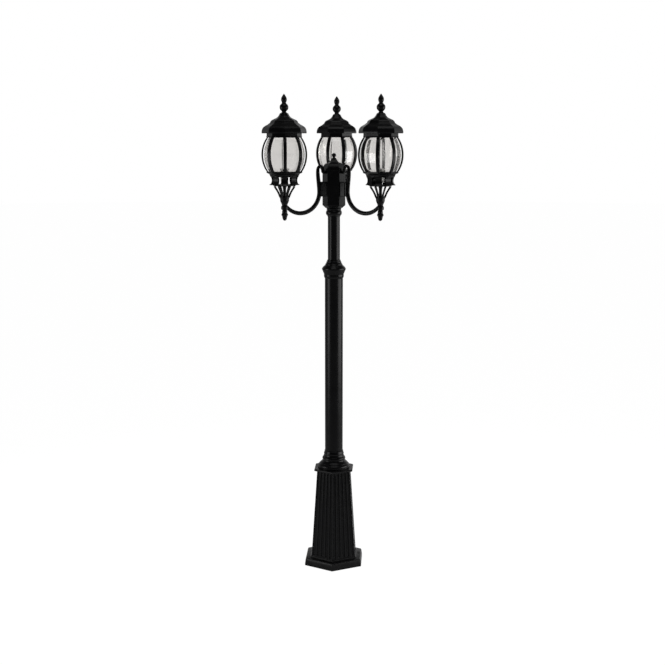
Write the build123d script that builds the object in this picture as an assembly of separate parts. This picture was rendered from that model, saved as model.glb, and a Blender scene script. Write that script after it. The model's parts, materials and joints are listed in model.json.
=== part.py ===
from build123d import *
from math import cos, radians, sqrt, tan
import os

# Triple head lamp post. Millimetres, Z up, floor at Z = 0, pole on the Z axis.
# A corner of the base points to -Y. One arm points to +Y, the others to the front.

# Base
base_sides = 6
plinth_apothem = 129.0
plinth_height = 43.0
plinth_wall = 7.0
ledge_width = 17.0
ledge_thickness = 8.0
plate_thickness = 8.0
anchor_circle = 85.0
anchor_hole = 6.5
anchor_count = 3
cable_hole = 16.0
cable_offset = 50.0
boss_radius = 16.0
boss_height = 24.0

# Fluted column
column_foot = 99.2
column_top = 74.3
column_height = 397.0
column_wall = 8.0
flutes_per_face = 5
flute_depth = 3.6
flute_share = 0.58
flute_end = 9.0
register_height = 10.0

# Cap and collar over the column
cap_apothem = 87.0
cap_height = 11.0
cap_plate = 9.0
cap_shoulder = 83.0
collar_height = 81.0
collar_foot = 72.5
collar_bore = 30.0
register_wall = 4.0

# Poles
lower_radius = 40.5
lower_wall = 4.0
lower_length = 792.0
reducer_height = 83.0
upper_radius = 27.0
upper_wall = 3.5
upper_length = 192.0
spigot_length = 28.0
wire_bore = 20.0

# Hub
hub_collar_height = 37.0
hub_neck = 31.5
hub_apothem = 44.4
hub_wall = 6.0
hub_floor = 12.0
hub_chamfer = 13.0
hub_height = 167.0
wire_hole = 4.2
lug_width = 14.0
lug_height = 12.0
lug_drop = 3.0
hub_cap_height = 50.0
hub_cap_wall = 4.0
ball_radius = 9.6
hub_finial_height = 24.0

# Tie rod
rod_radius = 6.0
stud_radius = 4.0
thread_depth = 20.0
nut_apothem = 9.0
nut_height = 11.0
washer_radius = 10.8
washer_thickness = 2.0

# Arms
arm_angles = {"left": 210.0, "right": 330.0, "rear": 90.0}
arm_reach = 240.0
arm_radius = 9.5
hook_radius = 6.4
hook_offset = 54.0
hook_rise = 21.6
leg_offset = 72.0
leg_lean = 7.4
bend_height = 65.0
eye_rise = 8.0
eye_inset = 11.33
eye_radius = 15.6
eye_height = 20.0
entry_rise = 2.0
end_taper = 1.5
arm_bore = 5.0
bracket_width = 42.0
bracket_height = 64.0
bracket_drop = 20.0
screw_radius = 2.9
screw_head = 5.2
screw_head_height = 3.2
screw_levels = (20.0, 36.0)
screw_bite = 3.0

# Lantern, stacked upwards from the eye of the arm
lantern_sides = 8
tail_height = 46.0
tail_radius = 13.4
foot_radius = 20.5
foot_height = 41.0
stem_radius = 7.5
strut_count = 6
strut_turn = 30.0
strut_rise = 43.0
strut_size = 6.6
dish_radius = 49.0
dish_thickness = 4.0
star_tip = 65.0
star_valley = 53.0
floor_thickness = 4.0
gallery_height = 39.0
waist_radius = 55.0
gallery_top = 61.0
bracket_depth = 9.0
bracket_breadth = 15.0
ring_foot = 63.0
ring_radius = 77.4
ring_height = 20.0
ring_bore = 52.0
belly_radius = 98.7
glass_height = 144.0
belly_share = 0.514
rib_width = 15.0
rib_depth = 7.5
neck_radius = 76.0
neck_height = 21.0
neck_bore = 58.0
glass_thickness = 4.0
pane_gap = 1.2
bridge_width = 13.0
bridge_thickness = 4.0
bridge_landing = 6.0
nipple_radius = 5.0
nipple_bore = 3.2
nipple_top = 10.0
lock_apothem = 8.0
lock_height = 6.0
socket_radius = 19.0
socket_height = 62.0
socket_bore = 13.3
socket_depth = 40.0
socket_collar = 24.0
roof_radius = 97.3
roof_height = 86.0
roof_drop = 3.0
roof_top = 17.0
roof_wall = 4.0
soffit_thickness = 6.0
finial_height = 81.0

# Clearances
slip = 0.3
close = 0.1

# Levels of the post
plinth_top = plinth_height
column_end = plinth_top + column_height
cap_end = column_end + cap_height
collar_end = cap_end + collar_height
lower_end = collar_end + lower_length
reducer_end = lower_end + reducer_height
upper_end = reducer_end + upper_length
hub_level = upper_end + hub_collar_height
hub_end = hub_level + hub_height
lug_level = hub_end - lug_drop
eye_level = hub_level + eye_rise

# Levels of a lantern above the eye
foot_level = eye_height / 2 + foot_height
dish_level = foot_level + strut_rise
floor_level = dish_level + dish_thickness
ring_level = floor_level + gallery_height
glass_level = ring_level + ring_height
neck_level = glass_level + glass_height
neck_end = neck_level + neck_height
roof_level = neck_end - roof_drop
finial_level = roof_level + roof_height + slip
lock_level = floor_level + floor_thickness
socket_level = lock_level + lock_height


def fitted(shape, low, high):
    """Shift the points of a moulding so that its ends meet two given points."""
    start, end = shape[0], shape[-1]
    points = []
    for radius, height in shape:
        share = (height - start[1]) / (end[1] - start[1])
        shift = (low[0] - start[0]) * (1 - share) + (high[0] - end[0]) * share
        points.append((radius + shift, low[1] + share * (high[1] - low[1])))
    return points


def upright(*edges):
    """Face in the XZ plane from edges drawn as (radius, height)."""
    return Plane.XZ * make_face(list(edges))


def turned(points):
    """Round body with the given outline of (radius, height) points."""
    outline = [(0, points[0][1]), *points, (0, points[-1][1])]
    return revolve(upright(Polyline(*outline, close=True)), Axis.Z)


def bar(radius, low, high):
    """Round bar on the Z axis between two heights."""
    return Pos(0, 0, (low + high) / 2) * Cylinder(radius, high - low)


def prismatic(apothem, sides, low, high, turn=0.0):
    """Straight polygonal bar with its first flat towards +X."""
    corner = apothem / cos(radians(180 / sides))
    sketch = RegularPolygon(corner, sides, rotation=180 / sides + turn)
    return Pos(0, 0, low) * extrude(sketch, high - low)


def faceted(face, sides, reach):
    """Polygonal body left where equal slabs with the given cross-section meet."""
    slab = extrude(face, reach, both=True)
    body = slab
    for index in range(1, sides // 2):
        body = body & Rot(0, 0, index * 360 / sides) * slab
    return body


def mitred(points, sides, turn=0.0):
    """Polygonal body with one moulding on every side, mitred at the corners."""
    other = [(-radius, height) for radius, height in reversed(points)]
    reach = 2 * max(radius for radius, height in points)
    body = faceted(upright(Polyline(*points, *other, close=True)), sides, reach)
    return Rot(0, 0, turn) * body


def around(shape, count, start=0.0):
    """Equal copies of a shape turned about the Z axis."""
    return [Rot(0, 0, start + index * 360 / count) * shape for index in range(count)]


def save(name, shape):
    """Write one piece to its own file."""
    shape.label = name
    export_step(shape, f"parts/{name}.step")


# ---------------------------------------------------------------- base

def anchor_plate():
    apothem = plinth_apothem - plinth_wall - slip
    plate = prismatic(apothem, base_sides, 0, plate_thickness)
    plate += bar(boss_radius, plate_thickness, plate_thickness + boss_height)
    top = plate_thickness + boss_height
    plate -= bar(rod_radius + close, top - thread_depth, top)
    for hole in around(Pos(anchor_circle, 0) * bar(anchor_hole, 0, plate_thickness),
                       anchor_count, 180 / base_sides):
        plate -= hole
    plate -= Pos(0, cable_offset) * bar(cable_hole, 0, plate_thickness)
    return plate


def base_plinth():
    moulding = [
        (129.0, 0), (128.4, 12), (126.6, 28), (125.6, 31.4), (122.6, 33.4),
        (118, 34.4), (106.6, 36), (104.8, 37), (103.8, 40), (101.4, 43),
    ]
    outline = fitted(moulding, (plinth_apothem, 0), (column_foot + 2.2, plinth_top))
    body = mitred(outline, base_sides)
    register = column_foot - column_wall - 1.0
    body += prismatic(register, base_sides, plinth_top, plinth_top + register_height)
    inside = plinth_apothem - plinth_wall
    opening = inside - ledge_width
    throat = register - register_wall
    ledge_top = plate_thickness + ledge_thickness
    body -= prismatic(inside, base_sides, 0, plate_thickness)
    hollow = [
        (opening, plate_thickness), (opening, ledge_top), (throat, ledge_top + 10),
        (throat, plinth_top + register_height),
    ]
    return body - mitred(hollow, base_sides)


def column_apothem(height):
    share = (height - plinth_top) / column_height
    return column_foot + (column_top - column_foot) * share


def flute(place):
    """Cutter for one flute at a share of the face width, on the face towards +X."""
    ends = []
    for height in (plinth_top + flute_end, column_end - flute_end):
        apothem = column_apothem(height)
        face = 2 * apothem * tan(radians(180 / base_sides))
        half = flute_share * face / flutes_per_face / 2
        radius = (half * half + flute_depth * flute_depth) / (2 * flute_depth)
        point = Vector(apothem + radius - flute_depth, (place - 0.5) * face, height)
        ends.append((point, radius))
    (low, low_radius), (high, high_radius) = ends
    length = (high - low).length
    core = Pos(0, 0, length / 2) * Cone(low_radius, high_radius, length)
    cutter = Plane(origin=low, z_dir=high - low).location * core
    cutter += Pos(low) * Sphere(low_radius)
    return cutter + Pos(high) * Sphere(high_radius)


def base_column():
    outer = [(column_foot, plinth_top), (column_top, column_end)]
    inner = [(radius - column_wall, height) for radius, height in outer]
    body = mitred(outer, base_sides) - mitred(inner, base_sides)
    cutters = []
    for index in range(flutes_per_face):
        cutters += around(flute((index + 0.5) / flutes_per_face), base_sides)
    return body - cutters


def base_cap():
    moulding = [
        (78.0, 0), (82.5, 0.8), (85.4, 2.2), (86.6, 3.6), (87, 5), (87, 7.4),
        (86.4, 9), (85, 10.2), (83, 11),
    ]
    edge = cap_apothem - 9.0
    outline = fitted(moulding, (edge, column_end), (cap_shoulder, cap_end))
    body = mitred(outline, base_sides)
    register = column_top - column_wall - 0.4
    body += prismatic(register, base_sides, column_end - register_height, column_end)
    body -= prismatic(register - register_wall, base_sides,
                      column_end - register_height, cap_end - cap_plate)
    return body - bar(collar_bore + register_wall + slip, cap_end - cap_plate, cap_end)


def base_collar():
    moulding = [
        (72.5, 0), (73, 2), (73, 6), (71.8, 9), (71.6, 12.5), (69.6, 15.6),
        (66, 18.8), (63.6, 22.6), (58.8, 26.4), (54.4, 30.4), (51.4, 35.4), (51, 38),
        (52.4, 41), (52.6, 46), (50.8, 50), (47.4, 54), (45.2, 59), (44.6, 63),
        (45.2, 67), (44.2, 72), (42.2, 77), (41.3, 81),
    ]
    top = lower_radius + 0.8
    body = turned(fitted(moulding, (collar_foot, cap_end), (top, collar_end)))
    body += bar(collar_bore + register_wall, cap_end - cap_plate, cap_end)
    body += bar(lower_radius - lower_wall - slip, collar_end, collar_end + spigot_length)
    return body - bar(collar_bore, cap_end - cap_plate, collar_end + spigot_length)


# ---------------------------------------------------------------- poles

def tube(radius, wall, low, high):
    return bar(radius, low, high) - bar(radius - wall, low, high)


def mid_collar():
    moulding = [
        (40.9, 0), (42.3, 4.5), (43.9, 9), (44.8, 13.5), (44.2, 17), (46.3, 22.5),
        (48.1, 27), (49.2, 31.5), (51.7, 36), (53.3, 40.5), (52.8, 45), (49.7, 49.5),
        (45, 54), (40, 58.5), (37.6, 63), (36.4, 65), (35, 67.5), (33.3, 72),
        (32.2, 75), (30.2, 77), (30, 80), (27.8, 83),
    ]
    low = (lower_radius + 0.4, lower_end)
    high = (upper_radius + 0.8, reducer_end)
    body = turned(fitted(moulding, low, high))
    body += bar(lower_radius - lower_wall - slip, lower_end - spigot_length, lower_end)
    upper_spigot = upper_radius - upper_wall - slip
    body += bar(upper_spigot, reducer_end, reducer_end + spigot_length)
    body -= bar(collar_bore, lower_end - spigot_length, lower_end + reducer_height / 2)
    return body - bar(wire_bore, lower_end, reducer_end + spigot_length)


def hub_collar():
    moulding = [
        (27.6, 0), (29.4, 3), (33, 8), (35, 12.5), (35.6, 18), (35, 22), (32.8, 26),
        (31.6, 29), (32.6, 33), (31.5, 37),
    ]
    low = (upper_radius + 0.6, upper_end)
    body = turned(fitted(moulding, low, (hub_neck, hub_level)))
    body += bar(upper_radius - upper_wall - slip, upper_end - spigot_length, upper_end)
    return body - bar(wire_bore, upper_end - spigot_length, hub_level)


# ---------------------------------------------------------------- hub

hub_turn = 180 / base_sides
floor_end = hub_level + hub_floor
bend_level = eye_level + bend_height
bracket_level = bend_level - bracket_drop
wire_level = bend_level - 3.0


def screw_heights():
    return [bend_level + level for level in screw_levels]


def hub_body():
    outline = [
        (hub_apothem - hub_chamfer, hub_level), (hub_apothem, hub_level + hub_chamfer),
        (hub_apothem, hub_end),
    ]
    body = mitred(outline, base_sides, hub_turn)
    body -= prismatic(hub_apothem - hub_wall, base_sides, floor_end, hub_end, hub_turn)
    body -= bar(rod_radius + slip, hub_level, floor_end)
    lug_length = hook_offset + hook_radius - hub_apothem
    lug = Pos(hub_apothem + lug_length / 2, 0, lug_level - lug_height / 2)
    lug *= Box(lug_length, lug_width, lug_height)
    wall = Rot(0, 90, 0) * Cylinder(screw_radius + slip, 3 * hub_wall)
    wire = Rot(0, 90, 0) * Cylinder(arm_bore, 3 * hub_wall)
    ring = (rod_radius + washer_radius) / 2 + hub_wall + 1
    for angle in arm_angles.values():
        turn = Rot(0, 0, angle)
        body += turn * lug
        for height in screw_heights():
            body -= turn * Pos(hub_apothem, 0, height) * wall
        body -= turn * Pos(hub_apothem, 0, wire_level) * wire
        body -= turn * Pos(ring, 0, 0) * bar(wire_hole, hub_level, floor_end)
    return body


def cap_outline(inset):
    """Ogee of the hub cap, drawn as a smooth curve."""
    edge = hub_apothem - inset
    top = hub_end + slip + hub_cap_height - inset
    foot = hub_end + slip
    rise = top - foot
    neck = ball_radius - inset / 2
    shoulder = Spline((edge, foot), (edge * 0.91, foot + 0.34 * rise),
                      (edge * 0.6, foot + 0.66 * rise), (neck, top),
                      tangents=[(0.02, 1), (-0.3, 1)])
    other = mirror(shoulder, Plane.YZ)
    top_line = Line((neck, top), (-neck, top))
    low_line = Line((-edge, foot), (edge, foot))
    return upright(shoulder, top_line, other, low_line)


def hub_cap():
    body, hollow = [faceted(cap_outline(inset), base_sides, 2 * hub_apothem)
                    for inset in (0.0, hub_cap_wall)]
    cap = Rot(0, 0, hub_turn) * (body - hollow)
    return cap - bar(stud_radius + slip + close, hub_end, hub_end + 2 * hub_cap_height)


cap_top = hub_end + slip + hub_cap_height


def hub_finial():
    low = cap_top + slip
    neck = ball_radius * 0.74
    centre = low + hub_finial_height - ball_radius
    body = turned([(ball_radius, low), (ball_radius, low + 1.6), (neck, low + 3.4),
                   (neck, centre)])
    body += Pos(0, 0, centre) * Sphere(ball_radius)
    return body - bar(stud_radius + slip + close, low, centre + 1.0)


def tie_rod():
    foot = plate_thickness + boss_height - thread_depth
    shoulder = floor_end + washer_thickness + nut_height + 6.0
    top = cap_top + slip + hub_finial_height - ball_radius
    return bar(rod_radius, foot, shoulder) + bar(stud_radius, shoulder, top)


def tie_nut():
    low = floor_end + washer_thickness
    body = bar(washer_radius, floor_end, low)
    body += prismatic(nut_apothem, 6, low, low + nut_height)
    return body - bar(rod_radius + close, floor_end, low + nut_height)


# ---------------------------------------------------------------- arms

def arm_line():
    """Centre lines of an arm: the hook, the leg and the lower bend."""
    tip = Vector(hook_offset, 0, lug_level)
    top = Vector(leg_offset + leg_lean, 0, lug_level)
    lift = Vector(0, 0, hook_rise / 0.75)
    leg = Vector(leg_offset, 0, bend_level)
    pull = Vector(0, 0, (lug_level - bend_level) / 3)
    low = bend_level - eye_level - entry_rise
    span = arm_reach - eye_inset - leg_offset
    radius = (span ** 2 + low ** 2) / (2 * span)
    centre = leg + Vector(radius, 0, 0)
    end = leg + Vector(span, 0, -low)
    return (
        Bezier(tip, tip + lift, top + lift, top),
        Bezier(top, top - pull, leg + pull, leg),
        ThreePointArc(leg, centre - Vector(0, 0, radius), end),
    )


def across(path, share):
    """Plane square to a path that lies in the XZ plane."""
    return Plane(origin=path @ share, x_dir=(0, 1, 0), z_dir=path % share)


def arm_body(growth=0.0):
    """Tapering S-bend and the centre line of its lower bend."""
    hook, leg, bend = arm_line()
    swell = arm_radius - hook_radius
    stations = [(hook, share, hook_radius) for share in (0, 0.17, 0.34, 0.5)]
    stations += [(hook, 0.67, hook_radius + 0.1 * swell),
                 (hook, 0.84, hook_radius + 0.3 * swell),
                 (leg, 0, hook_radius + 0.5 * swell),
                 (leg, 0.35, hook_radius + 0.75 * swell),
                 (leg, 0.7, hook_radius + 0.93 * swell), (leg, 1, arm_radius)]
    bend_count = 8
    for step in range(bend_count):
        share = (step + 1) / bend_count
        taper = end_taper * max(0, 2 * share - 1) ** 2
        stations.append((bend, share, arm_radius - taper))
    body = loft([across(line, share) * Circle(radius + growth)
                 for line, share, radius in stations])
    return body, bend


def arm():
    body, bend = arm_body()
    half = eye_height / 2
    bead = [(eye_radius * 0.7, -half), (eye_radius * 0.8, -half * 0.86),
            (eye_radius * 0.97, -half * 0.62), (eye_radius, -half * 0.4),
            (eye_radius, half * 0.4), (eye_radius * 0.97, half * 0.62),
            (eye_radius * 0.8, half * 0.86), (eye_radius * 0.7, half)]
    body += Pos(arm_reach, 0, eye_level) * turned(bead)
    body += Pos(bend @ 1) * Sphere(arm_radius - end_taper - close)
    body -= sweep(across(bend, 0) * Circle(arm_bore), bend)
    body -= Pos(arm_reach, 0, eye_level) * bar(nipple_radius + close, -half, half)
    throat = arm_reach - (bend @ 1).X
    inlet = Pos(arm_reach - throat / 2, 0, eye_level + entry_rise) * Rot(0, 90, 0)
    body -= inlet * Cylinder(arm_bore - 1, throat)
    reach = leg_offset - hub_apothem
    entry = Pos(leg_offset - reach / 2, 0, wire_level) * Rot(0, 90, 0)
    body -= entry * Cylinder(arm_bore, reach)
    for height in screw_heights():
        hole = Pos(screw_end() - 9, 0, height) * Rot(0, 90, 0)
        body -= hole * Cylinder(screw_radius + close, 20)
    return body


def screw_end():
    return leg_offset + screw_bite


def bracket():
    length = leg_offset - hub_apothem
    middle = bracket_level + bracket_height / 2
    block = Box(length, bracket_width, bracket_height)
    block = fillet(block.edges().filter_by(Axis.Z).group_by(Axis.X)[-1], 5)
    block = fillet(block.edges().filter_by(Axis.Y).group_by(Axis.X)[-1], 3)
    block = Pos(hub_apothem + length / 2, 0, middle) * block
    grown, bend = arm_body(close)
    block -= grown
    block -= Pos(leg_offset, 0, wire_level) * Rot(0, 90, 0) * Cylinder(arm_bore, 2 * length)
    for height in screw_heights():
        hole = Pos(leg_offset, 0, height) * Rot(0, 90, 0)
        block -= hole * Cylinder(screw_radius + close, 2 * length)
    return block


def screws():
    """Two screws for every arm, driven outwards from inside the hub."""
    inner = hub_apothem - hub_wall
    shank = screw_end() - inner
    turn = Rot(0, 90, 0)
    one = Pos(inner + shank / 2, 0, 0) * turn * Cylinder(screw_radius, shank)
    head = Pos(inner - screw_head_height / 2, 0, 0) * turn
    one += head * Cylinder(screw_head, screw_head_height)
    one -= Pos(inner - screw_head_height, 0, 0) * Box(3, 2 * screw_head, 1.4)
    solids = []
    for angle in arm_angles.values():
        for height in screw_heights():
            solids.append(Rot(0, 0, angle) * Pos(0, 0, height) * one)
    return Compound(children=solids)


# ---------------------------------------------------------------- lantern

corner_turn = 180 / lantern_sides
flat_share = cos(radians(corner_turn))


def tail():
    moulding = [
        (9.6, 0), (10.2, 4), (10.4, 8), (11.4, 11), (13.2, 13), (13.4, 15), (13.4, 18),
        (11.8, 20), (11.2, 23), (10.6, 28), (8.9, 36), (5.4, 43), (1.6, 46),
    ]
    top = -eye_height / 2
    points = fitted(moulding, (tail_radius - 3.8, 0), (1.6, tail_height))
    body = turned([(radius, top - height) for radius, height in points])
    return body - bar(nipple_radius + close, top - tail_height / 2, top)


def nipple():
    low = -eye_height / 2 - tail_height / 2
    high = socket_level + nipple_top
    body = bar(nipple_radius, low, high) - bar(nipple_bore, low, high)
    side = Pos(-nipple_radius, 0, entry_rise) * Rot(0, 90, 0)
    return body - side * Cylinder(nipple_bore - 0.4, 2 * nipple_radius)


def cup():
    low = eye_height / 2
    moulding = [
        (11.6, 0), (12.6, 2), (11.2, 5), (11.2, 10), (13.2, 15.5), (15.2, 20),
        (17.7, 27), (20.5, 36), (20.5, 41), (17, 43.5),
    ]
    body = turned(fitted(moulding, (foot_radius - 8.9, low), (foot_radius - 3.5, foot_level)))
    body += bar(stem_radius, low, floor_level)
    dish = bar(dish_radius, dish_level, floor_level)
    body += dish - bar(dish_radius - 9.0, dish_level, floor_level)
    spoke = Pos(dish_radius / 2, 0, (dish_level + floor_level) / 2)
    spoke *= Box(dish_radius - 2, strut_size, dish_thickness)
    foot = foot_radius - strut_size / 2
    rim = dish_radius - strut_size / 2
    span = rim - foot
    path = Spline((foot, foot_level - strut_size), (foot + 0.3 * span, foot_level + 9.0),
                  (foot + 0.6 * span, foot_level + 0.6 * strut_rise),
                  (rim, floor_level - 1.0))
    path = Plane.XZ * path
    strut = sweep(across(path, 0) * Circle(strut_size / 2), path)
    for one in around(strut + spoke, strut_count, strut_turn):
        body += one
    body = body & bar(2 * dish_radius, low, floor_level)
    return body - bar(nipple_radius + slip, low, floor_level)


def curved_rib(outer, inner, width):
    """Rib in the XZ plane between two arcs, each given by three points."""
    edges = [
        ThreePointArc(*outer), Line(outer[2], inner[2]),
        ThreePointArc(*inner), Line(inner[0], outer[0]),
    ]
    return extrude(upright(*edges), width / 2, both=True)


def gallery():
    star = []
    for index in range(2 * lantern_sides):
        radius = star_valley if index % 2 else star_tip
        angle = radians(corner_turn + index * corner_turn)
        star.append((radius * cos(angle), radius * sqrt(1 - cos(angle) ** 2)
                     * (1 if index * corner_turn + corner_turn <= 180 else -1)))
    plate = extrude(make_face(Polyline(*star, close=True)), floor_thickness)
    body = Pos(0, 0, floor_level) * plate
    top = ring_level
    low = floor_level + floor_thickness / 2
    middle = (low + top) / 2
    outer = ((star_tip - 3, low), (waist_radius, middle), (gallery_top, top))
    inner = tuple((radius - bracket_depth, height) for radius, height in outer)
    for rib in around(curved_rib(outer, inner, bracket_breadth), lantern_sides,
                      corner_turn):
        body += rib
    lip = top - floor_thickness
    body += bar(gallery_top, lip, top) - bar(gallery_top - bracket_depth - 4, lip, top)
    body = body & bar(2 * star_tip, floor_level, top)
    return body - bar(nipple_radius + slip, floor_level, top)


def belly(inset):
    """Radius of the lantern corners at ring, belly and neck, less an inset."""
    return (
        (ring_radius - inset, glass_level),
        (belly_radius - inset, glass_level + belly_share * glass_height),
        (neck_radius - inset, neck_level),
    )


def cage():
    ring = [(ring_foot * flat_share, ring_level),
            ((ring_foot + 5) * flat_share, ring_level + 0.42 * ring_height),
            (ring_radius * flat_share, ring_level + 0.72 * ring_height),
            (ring_radius * flat_share, glass_level)]
    body = mitred(ring, lantern_sides)
    body -= prismatic(ring_bore, lantern_sides, ring_level, glass_level)
    flat = neck_radius * flat_share
    neck = [(flat, neck_level), (flat + 1.5, neck_level + 3), (flat, neck_level + 6),
            (flat, neck_end)]
    body += mitred(neck, lantern_sides)
    body -= prismatic(neck_bore, lantern_sides, neck_level, neck_end)
    outer = belly(0)
    inner = belly(rib_depth)
    for rib in around(curved_rib(outer, inner, rib_width), lantern_sides, corner_turn):
        body += rib
    notch = Pos(0, 0, neck_end - bridge_thickness / 2)
    notch *= Box(bridge_width + slip, 2 * (neck_bore + bridge_landing) + slip,
                 bridge_thickness)
    return body - notch


def barrel(inset, low, high):
    """Eight-sided barrel that follows the ribs at an inset from their outside."""
    start, middle, end = belly(inset)
    side = ThreePointArc(*[(radius * flat_share, height)
                           for radius, height in (start, middle, end)])
    other = mirror(side, Plane.YZ)
    edges = [side, Line(side @ 1, other @ 1), other, Line(other @ 0, side @ 0)]
    body = faceted(upright(*edges), lantern_sides, 2 * belly_radius)
    middle_height = (low + high) / 2
    width = 3 * belly_radius
    return body & Pos(0, 0, middle_height) * Box(width, width, high - low)


def glass():
    low = glass_level + slip / 2
    high = neck_level - slip / 2
    outer = rib_depth + slip
    inner = outer + glass_thickness / flat_share
    shell = barrel(outer, low, high) - barrel(inner, low, high)
    cutter = Pos(belly_radius, 0, (low + high) / 2)
    cutter *= Box(2 * belly_radius, pane_gap, 2 * glass_height)
    return shell - around(cutter, lantern_sides, corner_turn)


def lock_nut():
    body = prismatic(lock_apothem, 6, lock_level, socket_level)
    return body - bar(nipple_radius + close, lock_level, socket_level)


def socket():
    top = socket_level + socket_height
    radius = socket_radius
    moulding = [(radius - 6, socket_level), (radius - 3, socket_level + 5),
                (radius - 2, socket_level + 16), (radius - 2, top - socket_collar),
                (radius, top - socket_collar + 2), (radius, top - 3), (radius - 2, top)]
    body = turned(moulding)
    body -= bar(socket_bore, top - socket_depth, top)
    return body - bar(nipple_radius + close, socket_level, socket_level + nipple_top)


def roof_bridge():
    length = 2 * (neck_bore + bridge_landing)
    low = neck_end - bridge_thickness
    body = Pos(0, 0, low + bridge_thickness / 2)
    body *= Box(bridge_width, length, bridge_thickness)
    body += bar(2 * stud_radius, low, low + 2 * bridge_thickness)
    return body + bar(stud_radius, low, finial_level + 0.42 * finial_height)


def roof():
    eave = [
        (96.6, 0), (97.3, 6), (96.2, 13), (93.6, 21), (84.5, 30), (67.8, 39),
        (61.4, 43), (59.4, 47), (53.3, 56), (35, 64), (24.7, 73), (19.7, 82), (17, 86),
    ]
    top = roof_level + roof_height
    points = fitted(eave, (roof_radius - 0.7, roof_level), (roof_top, top))
    outline = [(radius * flat_share, height) for radius, height in points]
    body = mitred(outline, lantern_sides)
    soffit = roof_level + soffit_thickness
    under = []
    for radius, height in points[1:-2]:
        under.append(((radius - roof_wall - 2.5) * flat_share,
                      max(height - roof_wall, soffit)))
    under[0] = (under[0][0], soffit)
    body -= mitred(under, lantern_sides)
    recess = neck_radius * flat_share + 1.5
    body -= prismatic(recess, lantern_sides, roof_level, neck_end + slip)
    body -= prismatic(neck_bore + 2, lantern_sides, roof_level, soffit)
    return body - bar(stud_radius + slip + close, roof_level, top)


def finial():
    shape = [
        (12.5, 0), (12.5, 1.5), (9.6, 3.5), (9.4, 6), (12, 9.5), (16.4, 14.5),
        (18.6, 19.5), (19, 24.5), (18.3, 29.5), (15.6, 34.5), (11.8, 38.5),
        (9.2, 41.5), (9, 44.5), (10.6, 48), (12.2, 52.5), (12.7, 57.5), (11.8, 62.5),
        (9.2, 68), (5.6, 74), (2.6, 78.6), (1.2, 80.7),
    ]
    low = finial_level
    high = low + finial_height
    body = turned(fitted(shape, (12.5, low), (1.2, high)))
    return body - bar(stud_radius + slip + close, low, low + 0.46 * finial_height)


# ---------------------------------------------------------------- export

os.makedirs("parts", exist_ok=True)

save("anchor_plate", anchor_plate())
save("base_plinth", base_plinth())
save("base_column", base_column())
save("base_cap", base_cap())
save("base_collar", base_collar())
save("lower_pole", tube(lower_radius, lower_wall, collar_end, lower_end))
save("mid_collar", mid_collar())
save("upper_pole", tube(upper_radius, upper_wall, reducer_end, upper_end))
save("hub_collar", hub_collar())
save("hub_body", hub_body())
save("tie_rod", tie_rod())
save("tie_nut", tie_nut())
save("hub_cap", hub_cap())
save("hub_finial", hub_finial())
save("bracket_screws", screws())

hub_pieces = {"arm": arm(), "bracket": bracket()}
lantern_pieces = {
    "tail": tail(), "nipple": nipple(), "cup": cup(), "gallery": gallery(),
    "cage": cage(), "glass": glass(), "lock_nut": lock_nut(), "socket": socket(),
    "roof_bridge": roof_bridge(), "roof": roof(), "finial": finial(),
}
for side, angle in arm_angles.items():
    turn = Rot(0, 0, angle)
    for piece, shape in hub_pieces.items():
        save(f"{side}_{piece}", turn * shape)
    for piece, shape in lantern_pieces.items():
        save(f"{side}_{piece}", turn * Pos(arm_reach, 0, eye_level) * shape)
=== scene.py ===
"""Three-lantern garden post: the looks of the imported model, piece by piece."""

import json
from math import atan2, cos, hypot, pi, radians, sin, sqrt, tan

import bmesh
import bpy
from mathutils import Matrix, Vector


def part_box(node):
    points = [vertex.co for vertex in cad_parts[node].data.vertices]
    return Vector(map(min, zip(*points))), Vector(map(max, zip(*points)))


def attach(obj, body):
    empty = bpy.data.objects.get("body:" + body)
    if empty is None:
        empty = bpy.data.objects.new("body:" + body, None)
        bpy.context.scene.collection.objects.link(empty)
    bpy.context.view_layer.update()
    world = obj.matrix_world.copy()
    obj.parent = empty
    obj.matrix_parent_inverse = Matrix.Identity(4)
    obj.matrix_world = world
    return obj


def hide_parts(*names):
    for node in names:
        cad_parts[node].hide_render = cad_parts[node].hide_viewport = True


bl_info = {
    "name": "Three-lantern garden post",
    "version": (1, 0, 0),
    "blender": (4, 5, 0),
    "location": "View3D > Sidebar > Post",
    "description": "Visible pieces, finishes and studio of a garden lamp post",
    "category": "Object",
}

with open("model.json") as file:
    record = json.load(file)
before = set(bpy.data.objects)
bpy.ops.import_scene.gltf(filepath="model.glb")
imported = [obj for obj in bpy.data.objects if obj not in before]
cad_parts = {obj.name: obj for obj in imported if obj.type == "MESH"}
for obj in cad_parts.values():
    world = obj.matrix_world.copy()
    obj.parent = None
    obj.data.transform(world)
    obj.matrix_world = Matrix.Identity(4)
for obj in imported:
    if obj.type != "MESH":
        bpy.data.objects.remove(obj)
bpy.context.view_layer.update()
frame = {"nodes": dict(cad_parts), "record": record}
SIDES = ("left", "right", "rear")
MM = 0.001
TURN_6 = pi / 6                 # puts a flat side of base or hub towards +X
TURN_8 = pi / 8                 # puts a flat side of a lantern towards +X
FLAT_6 = cos(TURN_6)            # flat radius as a share of the corner radius
FLAT_8 = cos(TURN_8)
TIP = 0.2 * MM                  # radius that closes a turned piece on its axis
COLUMN_TAPER = 24.9 * MM        # what a face of the column leans in
HOOK_DROP = 28 * MM             # from the top of an arm down to its seat on the hub
CUP_FOOT = 41 * MM              # height of the turned foot below the struts
LAMP_HEIGHT = 1.15              # height of the side lights and of what they aim at
HEAD_SHIFT = 1.4 / 1190         # camera turn that moves the picture by 1.4 pixels


# ------------------------------------------------------------ settings

def length(name, description, default, low=0.0):
    return bpy.props.FloatProperty(name=name, description=description, default=default,
                                   min=low, unit="LENGTH")


def factor(name, description, default, low=0.0, high=1.0):
    return bpy.props.FloatProperty(name=name, description=description, default=default,
                                   min=low, max=high, subtype="FACTOR")


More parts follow.
